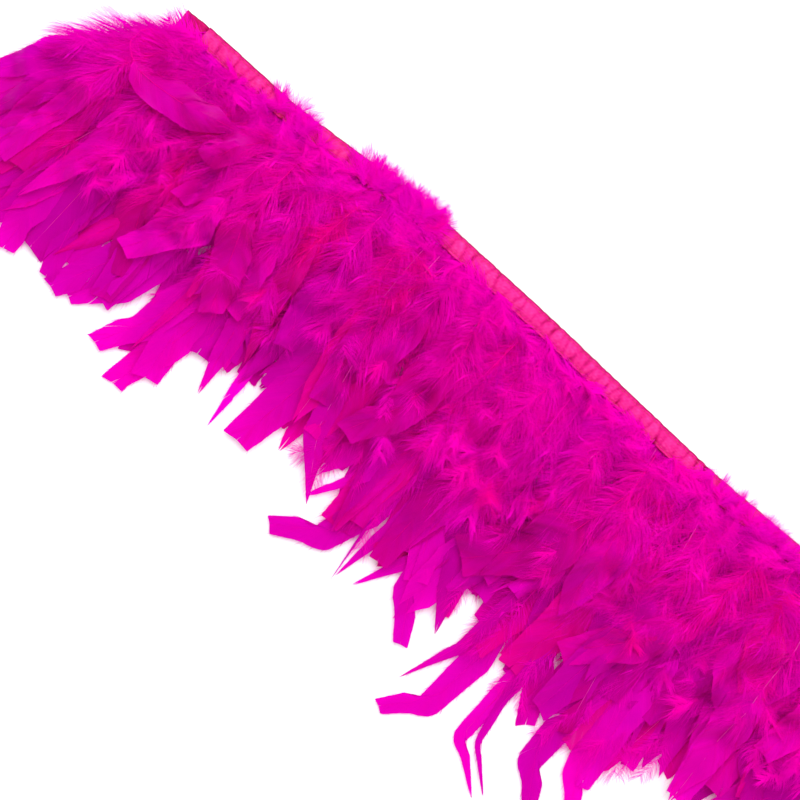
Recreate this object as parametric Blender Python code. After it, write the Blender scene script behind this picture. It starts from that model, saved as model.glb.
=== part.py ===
"""Feather fringe trim: two courses of dyed feather bunches sewn between two narrow satin ribbons.

The trim lies flat. +X runs along the ribbons, the feathers reach towards -Y, and +Z is the front.
The origin is on the back ribbon's outer face, at the middle of its length and width.
"""

import math

import bmesh
import bpy
from mathutils import Vector

# Ribbons and what is packed between them
TRIM_LENGTH = 0.914
RIBBON_WIDTH = 0.010
RIBBON_THICKNESS = 0.0004
FRONT_RIBBON_SETBACK = 0.014
QUILL_LAYER_THICKNESS = 0.0008
QUILL_LAYER_INSET = 0.0007
STRINGING_THREAD_DIAMETER = 0.0003

# The two rows of stitches, which pull both ribbons in along their edges
STITCH_THREAD_DIAMETER = 0.00025
STITCH_INSET = 0.0015
STITCH_VALLEY_WIDTH = 0.0018
THREAD_SINK = 0.00005

# Feather bunches
SECTIONS = 12
BUNCHES_PER_SECTION = 2
FRINGE_REACH = 0.158
REACH_VARIATION = 0.012
DOWN_LOFT = 0.028
DOWN_PEAK_AT = 0.045
DOWN_END_AT = 0.092
VANE_LOFT = 0.009
TIP_THICKNESS = 0.0015
TIP_TAPER_LENGTH = 0.022
TIP_WIDTH_SHARE = 0.45
ROOT_THICKNESS = 0.0006
ROOT_CLEARANCE = 0.0015
END_SPLAY = 0.030
COURSE_SPLIT = 0.007

# Room between neighbours
GAP = 0.0003
BUNCH_GAP = 0.0006

FUCHSIA_FEATHER = (0.80, 0.0, 0.36, 1.0)
DEEP_FEATHER = (0.56, 0.0, 0.24, 1.0)
PINK_SATIN = (0.86, 0.02, 0.24, 1.0)
QUILL_HORN = (0.75, 0.18, 0.36, 1.0)
PINK_THREAD = (0.62, 0.01, 0.16, 1.0)

# What follows from the sizes above
STITCH_VALLEY = STITCH_THREAD_DIAMETER + GAP + THREAD_SINK
HEADER_THICKNESS = 2 * (RIBBON_THICKNESS + STITCH_VALLEY + GAP) + QUILL_LAYER_THICKNESS
HINGE_Y = -RIBBON_WIDTH / 2
HINGE_Z = HEADER_THICKNESS / 2
SECTION_PITCH = TRIM_LENGTH / SECTIONS
BUNCH_PITCH = SECTION_PITCH / BUNCHES_PER_SECTION
BUNCHES = SECTIONS * BUNCHES_PER_SECTION


def clear_scene():
    for old in list(bpy.data.objects):
        bpy.data.objects.remove(old, do_unlink=True)


def make_material(name, colour, roughness, metallic=0.0):
    """A plain Principled material."""
    material = bpy.data.materials.new(name)
    material.use_nodes = True
    shader = material.node_tree.nodes["Principled BSDF"]
    shader.inputs["Base Color"].default_value = colour
    shader.inputs["Roughness"].default_value = roughness
    shader.inputs["Metallic"].default_value = metallic
    return material


def add_object(name, bm, material, parent=None):
    """Turns a finished bmesh into an object, kept where it was drawn when it has a parent."""
    bmesh.ops.recalc_face_normals(bm, faces=bm.faces)
    mesh = bpy.data.meshes.new(name)
    bm.to_mesh(mesh)
    bm.free()
    mesh.materials.append(material)
    part = bpy.data.objects.new(name, mesh)
    bpy.context.scene.collection.objects.link(part)
    if parent is not None:
        mesh.transform(parent.matrix_world.inverted())
        part.parent = parent
    return part


def extrude_outline(outline, x_start, x_end):
    """A solid strip: a closed (y, z) outline drawn at x_start and extruded along +X."""
    bm = bmesh.new()
    corners = [bm.verts.new((x_start, y, z)) for y, z in outline]
    face = bm.faces.new(corners)
    grown = bmesh.ops.extrude_face_region(bm, geom=[face])["geom"]
    far_end = [v for v in grown if isinstance(v, bmesh.types.BMVert)]
    bmesh.ops.translate(bm, verts=far_end, vec=(x_end - x_start, 0, 0))
    return bm


def thread(name, y, z, diameter, x_start, x_end, material):
    """A straight length of thread along X, as a six-sided rod."""
    sides = 6
    turns = [2 * math.pi * k / sides for k in range(sides)]
    ring = [(y + math.cos(a) * diameter / 2, z + math.sin(a) * diameter / 2) for a in turns]
    rod = add_object(name, extrude_outline(ring, x_start, x_end), material)
    rod.data.shade_smooth()
    rod.data.set_sharp_from_angle(angle=math.radians(70))
    return rod


def ribbon_outline(outer_z, inward):
    """A ribbon's cross-section. Its middle stands out, and its edges are pulled in by the stitches.

    outer_z is the height of the middle's outer face, and inward is +1 or -1, towards the other ribbon.
    """
    edge = RIBBON_WIDTH / 2
    band = edge - STITCH_INSET - STITCH_VALLEY_WIDTH / 2
    shoulder = band + STITCH_VALLEY * 0.5
    valley = outer_z + inward * STITCH_VALLEY
    thick = inward * RIBBON_THICKNESS
    outer = [(-edge, valley), (-shoulder, valley), (-band, outer_z)]
    outer += [(band, outer_z), (shoulder, valley), (edge, valley)]
    inner = [(y, z + thick) for y, z in reversed(outer)]
    return outer + inner


def build_header():
    """Both ribbons, the trimmed quills between them, the stringing thread and the four stitch threads."""
    half = TRIM_LENGTH / 2
    front_start = -half + FRONT_RIBBON_SETBACK
    satin_front = make_material("satin_ribbon_front", PINK_SATIN, 0.35)
    satin_back = make_material("satin_ribbon_back", PINK_SATIN, 0.42)
    add_object("back_ribbon", extrude_outline(ribbon_outline(0.0, 1), -half, half), satin_back)
    top = ribbon_outline(HEADER_THICKNESS, -1)
    add_object("front_ribbon", extrude_outline(top, front_start, half), satin_front)

    quill_z = HINGE_Z - QUILL_LAYER_THICKNESS / 2
    quill_edge = RIBBON_WIDTH / 2 - QUILL_LAYER_INSET
    slab = [(-quill_edge, quill_z), (quill_edge, quill_z)]
    slab += [(y, z + QUILL_LAYER_THICKNESS) for y, z in reversed(slab)]
    horn = make_material("trimmed_quills", QUILL_HORN, 0.5)
    packed = extrude_outline(slab, front_start + GAP, half - GAP)
    add_object("quill_butts", packed, horn)

    string_z = quill_z + QUILL_LAYER_THICKNESS + GAP + STRINGING_THREAD_DIAMETER / 2
    cotton = make_material("stringing_cotton", PINK_THREAD, 0.8)
    thread("stringing_thread", 0.0, string_z, STRINGING_THREAD_DIAMETER,
           front_start + GAP, half - GAP, cotton)

    sewing = make_material("sewing_thread", PINK_THREAD, 0.6)
    line = RIBBON_WIDTH / 2 - STITCH_INSET
    lift = THREAD_SINK + STITCH_THREAD_DIAMETER / 2
    for row, y in (("upper", line), ("lower", -line)):
        for side, z in (("front", HEADER_THICKNESS - lift), ("back", lift)):
            thread(f"{row}_stitches_{side}", y, z, STITCH_THREAD_DIAMETER, front_start, half, sewing)


def split_height(distance):
    """Height of the surface where the two courses meet, above the hinge, at a distance from the hinge."""
    rise_start = ROOT_CLEARANCE * 3
    if distance <= rise_start:
        return 0.0
    if distance <= DOWN_PEAK_AT:
        return COURSE_SPLIT * (distance - rise_start) / (DOWN_PEAK_AT - rise_start)
    if distance <= DOWN_END_AT:
        return COURSE_SPLIT
    longest = FRINGE_REACH + REACH_VARIATION
    return COURSE_SPLIT * (longest - distance) / (longest - DOWN_END_AT)


def bunch_profile(course, reach):
    """Stations along a bunch from root to tip.

    Each is (distance from the hinge, lower height, upper height, share of the full width), with the
    heights measured from the hinge.
    """
    taper_start = reach - TIP_TAPER_LENGTH
    taper_rise = TIP_THICKNESS + (VANE_LOFT - TIP_THICKNESS) * 0.3
    stations = [
        (ROOT_CLEARANCE, ROOT_THICKNESS, 1.0),
        (ROOT_CLEARANCE * 3, ROOT_THICKNESS * 3, 1.0),
        (DOWN_PEAK_AT * 0.35, DOWN_LOFT * 0.3, 1.0),
        (DOWN_PEAK_AT, DOWN_LOFT - COURSE_SPLIT, 1.0),
        (DOWN_END_AT, VANE_LOFT, 1.0),
        (taper_start, taper_rise, 1.0),
        (reach - TIP_TAPER_LENGTH * 0.3, TIP_THICKNESS, (1 + TIP_WIDTH_SHARE) / 2),
        (reach, TIP_THICKNESS, TIP_WIDTH_SHARE),
    ]
    profile = []
    for distance, rise, share in stations:
        split = split_height(distance)
        if course == "front":
            lower = split + GAP / 2
            profile.append((distance, lower, lower + rise, share))
        else:
            upper = split - GAP / 2
            root = distance == ROOT_CLEARANCE
            profile.append((distance, upper - rise if root else -HINGE_Z, upper, share))
    return profile


def bunch_ring(bm, x_low, x_high, y, z_low, z_high):
    """One eight-sided ring of a bunch's loft, with rounded-off corners."""
    centre = (x_low + x_high) / 2
    half = (x_high - x_low) / 2
    rise = z_high - z_low
    flat = half * 0.55
    low = z_low + rise * 0.3
    high = z_high - rise * 0.3
    outline = [(-flat, z_low), (flat, z_low), (half, low), (half, high)]
    outline += [(flat, z_high), (-flat, z_high), (-half, high), (-half, low)]
    return [bm.verts.new((centre + x, y, z)) for x, z in outline]


def build_bunch(course, index, material, parent):
    """A soft bunch of feathers as one lofted solid, from its quills at the ribbon's edge to the vane tips."""
    wave = math.sin(2.4 * index + (1.1 if course == "back" else 0.0))
    reach = FRINGE_REACH + REACH_VARIATION * wave
    left = -TRIM_LENGTH / 2 + index * BUNCH_PITCH
    x_low = left + BUNCH_GAP / 2
    x_high = left + BUNCH_PITCH - BUNCH_GAP / 2
    bm = bmesh.new()
    rings = []
    for distance, lower, upper, share in bunch_profile(course, reach):
        splay = END_SPLAY * distance / reach
        low_edge = x_low - splay if index == 0 else x_low
        high_edge = x_high + splay if index == BUNCHES - 1 else x_high
        narrowing = (high_edge - low_edge) * (1 - share) / 2
        ring = bunch_ring(
            bm, low_edge + narrowing, high_edge - narrowing,
            HINGE_Y - distance, HINGE_Z + lower, HINGE_Z + upper,
        )
        rings.append(ring)
    for near, far in zip(rings, rings[1:]):
        for k in range(len(near)):
            nxt = (k + 1) % len(near)
            bm.faces.new((near[k], near[nxt], far[nxt], far[k]))
    bm.faces.new(rings[0])
    bm.faces.new(rings[-1])
    bunch = add_object(f"{course}_bunch_{index + 1:02d}", bm, material, parent)
    bunch.data.shade_smooth()
    bunch.data.set_sharp_from_angle(angle=math.radians(50))
    return bunch


def build_rows():
    """Each section of a course hangs from its own hinge line, at the ribbons' lower edge."""
    colours = {
        "front": make_material("front_feathers", FUCHSIA_FEATHER, 0.85),
        "back": make_material("back_feathers", DEEP_FEATHER, 0.85),
    }
    for course, material in colours.items():
        for section in range(SECTIONS):
            middle = -TRIM_LENGTH / 2 + (section + 0.5) * SECTION_PITCH
            hinge = bpy.data.objects.new(f"{course}_row_{section + 1:02d}_hinge", None)
            hinge.location = Vector((middle, HINGE_Y, HINGE_Z))
            bpy.context.scene.collection.objects.link(hinge)
            bpy.context.view_layer.update()
            for k in range(BUNCHES_PER_SECTION):
                build_bunch(course, section * BUNCHES_PER_SECTION + k, material, hinge)


clear_scene()
build_header()
build_rows()
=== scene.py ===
"""Looks of a feather fringe: dyed feathers strung side by side and sewn between two satin ribbons.

The ribbons run along X and the feathers hang towards -Y. The trim lies on its back on the floor, Z = 0.
Sizes in the sections are in millimetres along the ribbon from its cut end, and down from its top edge.
"""

import math

import bpy
import numpy as np
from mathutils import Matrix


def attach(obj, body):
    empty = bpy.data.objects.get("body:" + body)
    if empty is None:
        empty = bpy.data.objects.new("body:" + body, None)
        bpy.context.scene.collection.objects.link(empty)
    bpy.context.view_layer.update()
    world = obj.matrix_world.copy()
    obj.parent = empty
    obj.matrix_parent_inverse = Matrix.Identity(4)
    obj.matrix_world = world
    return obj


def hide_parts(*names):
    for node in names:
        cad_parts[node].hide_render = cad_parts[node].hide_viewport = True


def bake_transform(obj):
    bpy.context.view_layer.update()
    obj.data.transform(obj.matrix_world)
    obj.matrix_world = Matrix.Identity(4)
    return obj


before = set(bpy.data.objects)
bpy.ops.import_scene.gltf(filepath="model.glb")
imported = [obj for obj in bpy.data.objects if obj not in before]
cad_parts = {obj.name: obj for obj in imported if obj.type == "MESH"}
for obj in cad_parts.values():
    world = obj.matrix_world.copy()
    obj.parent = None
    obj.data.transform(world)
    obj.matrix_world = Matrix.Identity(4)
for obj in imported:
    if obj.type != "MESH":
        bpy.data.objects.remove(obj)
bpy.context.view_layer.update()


# ----------------------------------------------
# Camera: straight above the first half of the trim, on a long lens, turned so that the ribbon
# runs down to the right.
# ----------------------------------------------
VIEW_WIDTH = 0.3808
CAMERA_LENS = 110.0
CAMERA_SENSOR = 36.0
CAMERA_TURN = math.radians(41.35)
CAMERA_SPOT = (-0.2577, -0.0701)
VIEW_LEVEL = 0.006

camera_data = bpy.data.cameras.new("camera")
camera_data.lens = CAMERA_LENS
camera_data.sensor_width = CAMERA_SENSOR
camera_data.clip_start = 0.01
camera_data.clip_end = 20.0
camera = bpy.data.objects.new("camera", camera_data)
camera.location = (*CAMERA_SPOT, VIEW_LEVEL + VIEW_WIDTH * CAMERA_LENS / CAMERA_SENSOR)
camera.rotation_euler = (0.0, 0.0, CAMERA_TURN)
bpy.context.scene.collection.objects.link(camera)
bpy.context.scene.camera = camera
bpy.context.scene.view_settings.view_transform = "Standard"


# ----------------------------------------------
# Floor and light: a white card under the trim, one wide soft lamp above the ribbon's side,
# and even white light all round.
# ----------------------------------------------
FLOOR_SIZE = 6.0
FLOOR_WHITE = "#F4F4F4"
ROOM_LIGHT = 0.88
KEY_POWER = 42.0
KEY_SIZE = 2.0
KEY_SPOT = (-0.35, 0.85, 1.75)


def linear(hex_colour):
    """An sRGB hex colour as linear red, green, blue and alpha."""
    parts = [int(hex_colour[i:i + 2], 16) / 255.0 for i in (1, 3, 5)]
    return [p / 12.92 if p <= 0.04045 else ((p + 0.055) / 1.055) ** 2.4 for p in parts] + [1.0]


def add_node(tree, kind, settings=None, **links):
    """Adds a node. settings are its own properties; links are socket names, with a value or a socket."""
    node = tree.nodes.new(kind)
    for name, value in (settings or {}).items():
        setattr(node, name, value)
    for name, value in links.items():
        place = int(name[1:]) if name[0] == "i" and name[1:].isdigit() else name.replace("_", " ")
        if isinstance(value, bpy.types.NodeSocket):
            tree.links.new(value, node.inputs[place])
        else:
            node.inputs[place].default_value = value
    return node


def start_material(name):
    """An empty node material and its output node."""
    material = bpy.data.materials.new(name)
    material.use_nodes = True
    material.node_tree.nodes.clear()
    return material, material.node_tree, material.node_tree.nodes.new("ShaderNodeOutputMaterial")


# White card: matt and even, so it takes the pink glow under the feathers.
card, tree, out = start_material("white_card")
surface = add_node(tree, "ShaderNodeBsdfPrincipled", Base_Color=linear(FLOOR_WHITE), Roughness=0.9)
tree.links.new(surface.outputs[0], out.inputs[0])

bpy.ops.mesh.primitive_plane_add(size=FLOOR_SIZE, location=(0.0, 0.0, 0.0))
floor = bpy.context.object
floor.name = "floor"
floor.data.materials.append(card)

world = bpy.data.worlds.new("room")
world.use_nodes = True
world.node_tree.nodes["Background"].inputs["Color"].default_value = (1.0, 1.0, 1.0, 1.0)
world.node_tree.nodes["Background"].inputs["Strength"].default_value = ROOM_LIGHT
bpy.context.scene.world = world

key_data = bpy.data.lights.new("key", "AREA")
key_data.shape = "DISK"
key_data.size = KEY_SIZE
key_data.energy = KEY_POWER
key = bpy.data.objects.new("key", key_data)
key.location = KEY_SPOT
key_aim = np.array([-0.25, -0.07, 0.0]) - np.array(KEY_SPOT)
key.rotation_euler = (
    math.atan2(math.hypot(key_aim[0], key_aim[1]), -key_aim[2]),
    0.0,
    math.atan2(key_aim[0], -key_aim[1]) + math.pi,
)
bpy.context.scene.collection.objects.link(key)


# ----------------------------------------------
# Ribbons: two lengths of satin ribbon, face to face over the quills. The sewing draws them up,
# so they lie in small puffed cells with a crease every few millimetres.
# ----------------------------------------------
MM = 0.001
LENGTH = 914.0
RIBBON_WIDTH = 10.0
FRONT_RIBBON_START = 14.0
RIBBON_STITCH_LINE = 3.5
RIBBON_STEP = 0.9
RIBBON_COLUMNS = 15
CREASE_SPACING = (3.4, 7.4)
RIBBON_THICKNESS = 0.22
BACK_RIBBON_PUFF = 0.6
# The ribbon's colour is darker along both edges: from this far off its middle, in mm, and by this much.
DARK_EDGE_FROM = 4.7
DARK_EDGE_BY = 0.75
# How the ribbon lies: sideways drift in mm at places along it in mm.
LIE_AT = [-80, 0, 14, 72, 122, 155, 233, 273, 339, 388, 457, 560, 700, 820, 914, 990]
LIE_BY = [-2.4, -2.4, -1.4, -2.4, 1.8, 3.3, 1.8, 0.0, -2.4, -1.2, 0.0, 1.0, -1.0, 0.8, 0.0, 0.0]

lie_along = np.arange(-80.0, 991.0, 1.0)
lie_window = np.hanning(43)[1:-1] / np.hanning(43).sum()
lie_smooth = np.convolve(np.pad(np.interp(lie_along, LIE_AT, LIE_BY), 20, mode="edge"), lie_window, "valid")


def to_frame(along, reach, height):
    """Millimetres along the ribbon, down from its top edge and up from the floor, as frame metres."""
    x = along - LENGTH / 2
    y = RIBBON_WIDTH / 2 - reach + np.interp(along, lie_along, lie_smooth)
    return np.stack([x * MM, y * MM, height * MM + 0.0 * x], axis=-1)


def new_heap():
    """Loose pieces of one mesh: points and their faces, and dye with painted shade, depth, grain and facing
    for each point.
    """
    heap = {kept: [] for kept in ("points", "fours", "threes", "dye", "depth", "grain", "facing")}
    heap["count"] = 0
    return heap


def put(heap, points, dye, grain, fours=None, threes=None, depth=1.0, facing=(0.0, 0.0, 0.0)):
    """Adds points with their faces to the heap. A facing of zero leaves the point its own normal."""
    n = len(points)
    heap["points"].append(points)
    heap["dye"].append(np.broadcast_to(np.asarray(dye, float), (n,)))
    heap["depth"].append(np.broadcast_to(np.asarray(depth, float), (n,)))
    heap["facing"].append(np.broadcast_to(np.asarray(facing, float), (n, 3)))
    heap["grain"].append(grain)
    if fours is not None and len(fours):
        heap["fours"].append(fours + heap["count"])
    if threes is not None and len(threes):
        heap["threes"].append(threes + heap["count"])
    heap["count"] += n


def grid_faces(rows, columns, closed=False):
    """Four-cornered faces of a grid of points, row by row."""
    r = np.arange(rows - 1)[:, None]
    c = np.arange(columns if closed else columns - 1)[None, :]
    d = (c + 1) % columns
    return np.stack(
        [r * columns + c, r * columns + d, (r + 1) * columns + d, (r + 1) * columns + c], axis=-1
    ).reshape(-1, 4)


def finish_mesh(heap, name, material):
    """One object from a heap."""
    points = np.concatenate(heap["points"])
    fours = np.concatenate(heap["fours"]) if heap["fours"] else np.zeros((0, 4), int)
    threes = np.concatenate(heap["threes"]) if heap["threes"] else np.zeros((0, 3), int)
    mesh = bpy.data.meshes.new(name)
    mesh.vertices.add(len(points))
    mesh.vertices.foreach_set("co", points.astype(np.float32).ravel())
    corners = np.concatenate([fours.ravel(), threes.ravel()]).astype(np.int32)
    sizes = np.concatenate([np.full(len(fours), 4), np.full(len(threes), 3)]).astype(np.int32)
    mesh.loops.add(len(corners))
    mesh.loops.foreach_set("vertex_index", corners)
    mesh.polygons.add(len(sizes))
    mesh.polygons.foreach_set("loop_start", (np.cumsum(sizes) - sizes).astype(np.int32))
    mesh.polygons.foreach_set("loop_total", sizes)
    mesh.polygons.foreach_set("use_smooth", np.full(len(sizes), True))
    grain = np.concatenate(heap["grain"])
    layer = mesh.uv_layers.new(name="grain")
    layer.data.foreach_set("uv", grain[corners].astype(np.float32).ravel())
    for name_of, values in (("dye", heap["dye"]), ("depth", heap["depth"])):
        attribute = mesh.attributes.new(name_of, "FLOAT", "POINT")
        attribute.data.foreach_set("value", np.concatenate(values).astype(np.float32))
    mesh.materials.append(material)
    mesh.update(calc_edges=True)
    facing = np.concatenate(heap["facing"])
    if np.any(facing):
        mesh.normals_split_custom_set_from_vertices(facing.tolist())
    piece = bpy.data.objects.new(name, mesh)
    bpy.context.scene.collection.objects.link(piece)
    return piece


def satin_material(name, fold_shade, face_colour, high):
    """Satin from its face colour, with painted shade in the folds and a painted highlight where it catches
    the light. Its painted sheen streaks are 0.4 mm wide and its ribs 0.35 mm apart: real threads, at 0.1 mm,
    are too fine to show."""
    material, tree, out = start_material(name)
    uv = add_node(tree, "ShaderNodeUVMap", {"uv_map": "grain"})
    painted_fold_shading = add_node(tree, "ShaderNodeAttribute", {"attribute_name": "dye"})
    along_threads = add_node(tree, "ShaderNodeMapping", Vector=uv.outputs[0], Scale=(0.30, 2.6, 1.0))
    sheen_streak_noise = add_node(tree, "ShaderNodeTexNoise", Vector=along_threads.outputs[0], Scale=1.0, Detail=3.0)
    sheen_streak_share = add_node(
        tree, "ShaderNodeMapRange", Value=sheen_streak_noise.outputs[0], i1=0.3, i2=0.7, i3=-0.18, i4=0.18
    )
    shade = add_node(
        tree, "ShaderNodeMath", {"operation": "ADD", "use_clamp": True},
        i0=painted_fold_shading.outputs["Fac"], i1=sheen_streak_share.outputs[0],
    )
    # The ramp runs from painted shade in the folds, through the face colour, to a painted highlight.
    colours = add_node(tree, "ShaderNodeValToRGB", Fac=shade.outputs[0])
    colours.color_ramp.elements[0].color = linear(fold_shade)
    colours.color_ramp.elements[1].color = linear(high)
    colours.color_ramp.elements.new(0.55).color = linear(face_colour)
    ribs = add_node(
        tree, "ShaderNodeTexWave", {"bands_direction": "X"}, Vector=uv.outputs[0], Scale=0.9, Distortion=1.5
    )
    rib_bump = add_node(tree, "ShaderNodeBump", Height=ribs.outputs[1], Strength=0.35, Distance=0.00012)
    surface = add_node(
        tree,
        "ShaderNodeBsdfPrincipled",
        Base_Color=colours.outputs[0],
        Roughness=0.45,
        Specular_IOR_Level=0.3,
        Specular_Tint=linear("#FF4898"),
        Normal=rib_bump.outputs[0],
    )
    tree.links.new(surface.outputs[0], out.inputs[0])
    return material


# Polyester satin, woven, dyed rose, given as painted fold shade, face colour and painted highlight: smooth
# floats along the ribbon give it a soft gloss with painted sheen streaks, and painted shade darkens the
# folds at the stitches.
# The back ribbon shows its duller wrong side at the bare end.
satin = satin_material("woven_polyester_satin", "#86003A", "#CC1A78", "#E8429A")
dull_satin = satin_material("satin_wrong_side", "#7C0034", "#B00C5C", "#CC2070")


def satin_ribbon(name, cloth, start, level, facing, seed):
    """A gathered ribbon. level is its height at the stitches; facing is 1 for the front, -1 for the back."""
    draw = np.random.default_rng(seed)
    creases = [start - 3.0]
    while creases[-1] < LENGTH + 5:
        creases.append(creases[-1] + draw.uniform(*CREASE_SPACING))
    creases = np.array(creases)
    slant = draw.uniform(-0.34, 0.34, len(creases))
    arch = draw.uniform(-0.05, 0.05, len(creases))
    depth = draw.beta(1.1, 1.3, len(creases))
    spread = draw.uniform(0.35, 1.0, len(creases))
    across_at = draw.uniform(-4.0, 4.0, len(creases))
    puff = draw.uniform(0.35, 1.0, len(creases))
    rows = int((LENGTH - start) / RIBBON_STEP) + 1
    along = np.linspace(start, LENGTH, rows)[:, None]
    across = np.linspace(-1.0, 1.0, RIBBON_COLUMNS)[None, :] * RIBBON_WIDTH / 2
    along, across = np.broadcast_arrays(along, across)
    shifted = along[..., None] - creases - slant * across[..., None] - arch * across[..., None] ** 2
    nearest = np.abs(shifted)
    cell = np.clip(np.searchsorted(creases, along[:, 0]) - 1, 0, len(creases) - 1)
    cell = cell[:, None] + 0 * across.astype(int)
    fade = np.exp(-(((across[..., None] - across_at) / 2.6) ** 2))
    dent = (depth * (0.12 + 0.88 * fade) * np.exp(-((nearest / spread) ** 2))).sum(-1)
    gap = np.minimum.reduce(nearest / (0.3 + depth), axis=-1)
    swell = puff[cell] * (1 - np.exp(-((gap / 1.5) ** 2)))
    pulled = np.exp(-(((np.abs(across) - RIBBON_STITCH_LINE) / 0.55) ** 2))
    middle = np.clip(1 - (np.abs(across) / RIBBON_STITCH_LINE) ** 2, 0, 1)
    edge = np.clip((np.abs(across) - RIBBON_STITCH_LINE) / 1.5, 0, 1)
    ripple = np.sin(along * 0.21 + seed) * 0.5 + np.sin(along * 0.093 + 2 * seed)
    height = 0.12 + middle * (0.25 + 0.75 * swell) + 0.45 * edge * swell - 0.26 * pulled - 0.34 * dent
    pucker = np.sin(along * 2.9 + 1.7 * across) * np.sin(along * 0.83 + 0.9 * across + seed)
    height = height + 0.08 * ripple * edge + 0.07 * pucker * (pulled + 0.4)
    height = height * (1.0 if facing > 0 else BACK_RIBBON_PUFF)
    scallop = edge * (0.30 * swell - 0.60 * dent) * np.sign(across)
    # Painted light and shade in the satin's colour: darker in the creases and along the stitch lines,
    # lighter on the puffed cells, and lighter or darker over the puckers. The colour is also darker along
    # both edges.
    painted_fold_shading = 0.66 - 0.75 * np.clip(dent, 0, 1) - 0.20 * pulled + 0.22 * (swell - 0.5) - 0.10 * pucker
    painted_fold_shading = painted_fold_shading - DARK_EDGE_BY * (np.abs(across) > DARK_EDGE_FROM)
    flat_reach = RIBBON_WIDTH / 2 - (across + scallop)
    heap = new_heap()
    points = to_frame(along, flat_reach, level + facing * height)
    grain = np.stack([along, across], -1).reshape(-1, 2)
    faces = grid_faces(rows, RIBBON_COLUMNS)[:, ::facing]
    put(heap, points.reshape(-1, 3), painted_fold_shading.ravel(), grain, fours=faces)
    piece = finish_mesh(heap, name, cloth)
    wall = piece.modifiers.new("cloth thickness", "SOLIDIFY")
    wall.thickness = RIBBON_THICKNESS * MM
    wall.offset = -1.0
    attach(piece, "header")
    return piece


front_ribbon = satin_ribbon("front_satin_ribbon", satin, FRONT_RIBBON_START, 2.75, 1, 4)
back_ribbon = satin_ribbon("back_satin_ribbon", dull_satin, 0.0, 0.95, -1, 9)
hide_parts("front_ribbon")
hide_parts("back_ribbon")


# ----------------------------------------------
# Stitches: two rows of lockstitch in sewing thread through both ribbons and the quills, each
# stitch a short raised loop that dips into the satin at its ends.
# ----------------------------------------------
STITCH_PITCH = 2.6
STITCH_THREAD = 0.30
STITCH_RISE = 0.22

# Spun polyester sewing thread, a shade deeper than the ribbon: matt, with a faint twist of about
# 0.2 mm a ply.
thread, tree, out = start_material("spun_polyester_thread")
uv = add_node(tree, "ShaderNodeUVMap", {"uv_map": "grain"})
twist = add_node(tree, "ShaderNodeTexWave", {"bands_direction": "DIAGONAL"}, Vector=uv.outputs[0], Scale=2.2)
plies = add_node(tree, "ShaderNodeValToRGB", Fac=twist.outputs[1])
plies.color_ramp.elements[0].color = linear("#A8054E")
plies.color_ramp.elements[1].color = linear("#DE1872")
surface = add_node(
    tree, "ShaderNodeBsdfPrincipled", Base_Color=plies.outputs[0], Roughness=0.75, Sheen_Weight=0.2
)
tree.links.new(surface.outputs[0], out.inputs[0])


def thread_tube(heap, path, radius, sides=4):
    """A round thread along a path of frame points."""
    n = len(path)
    run = np.gradient(path, axis=0)
    run /= np.linalg.norm(run, axis=1)[:, None]
    side = np.cross(run, [0.0, 0.0, 1.0])
    side /= np.linalg.norm(side, axis=1)[:, None] + 1e-12
    up = np.cross(side, run)
    turn = np.arange(sides) * 2 * math.pi / sides
    ring = path[:, None] + radius * (
        np.cos(turn)[None, :, None] * side[:, None] + np.sin(turn)[None, :, None] * up[:, None]
    )
    grain = np.stack(np.broadcast_arrays(np.arange(n)[:, None] * 0.5, turn[None, :]), -1).reshape(-1, 2)
    put(heap, ring.reshape(-1, 3), 0.5, grain, fours=grid_faces(n, sides, closed=True))


def stitch_row(name, start, offset, level, facing, node):
    """A row of stitches along one side of one ribbon."""
    heap = new_heap()
    phase = np.array([0.0, 0.1, 0.3, 0.5, 0.7, 0.9, 1.0])
    lift = np.array([-0.5, 0.25, 0.85, 1.0, 0.85, 0.25, -0.5])
    count = int((LENGTH - start - 2.0) / STITCH_PITCH)
    for k in range(count):
        at = start + 1.0 + (k + 0.06 + 0.88 * phase) * STITCH_PITCH
        path = to_frame(at, RIBBON_WIDTH / 2 - offset + 0.0 * at, level + facing * STITCH_RISE * lift)
        thread_tube(heap, path, STITCH_THREAD / 2 * MM)
    piece = finish_mesh(heap, name, thread)
    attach(piece, "header")
    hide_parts(node)


for side, start, level, facing in (("front", FRONT_RIBBON_START, 2.78, 1), ("back", 0.0, 0.92, -1)):
    for row, offset in (("upper", RIBBON_STITCH_LINE), ("lower", -RIBBON_STITCH_LINE)):
        stitch_row(f"{side}_{row}_lockstitch", start, offset, level, facing, f"{row}_stitches_{side}")


# ----------------------------------------------
# Quill butts and stringing thread: the bare ends of the quills, laid side by side between the
# ribbons, with the thread that strings them run over and under along their middle.
# ----------------------------------------------
QUILL_SPACING = 1.9
QUILL_RADIUS = 0.42
STRINGING_RADIUS = 0.15
STRINGING_STEP = 0.7

# Quill: hard, smooth keratin that has taken the dye lightly, so it is paler and glossier than the
# vanes.
quill, tree, out = start_material("dyed_keratin_quill")
surface = add_node(
    tree, "ShaderNodeBsdfPrincipled", Base_Color=linear("#F23CB4"), Roughness=0.35, Specular_IOR_Level=0.5
)
tree.links.new(surface.outputs[0], out.inputs[0])

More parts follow.
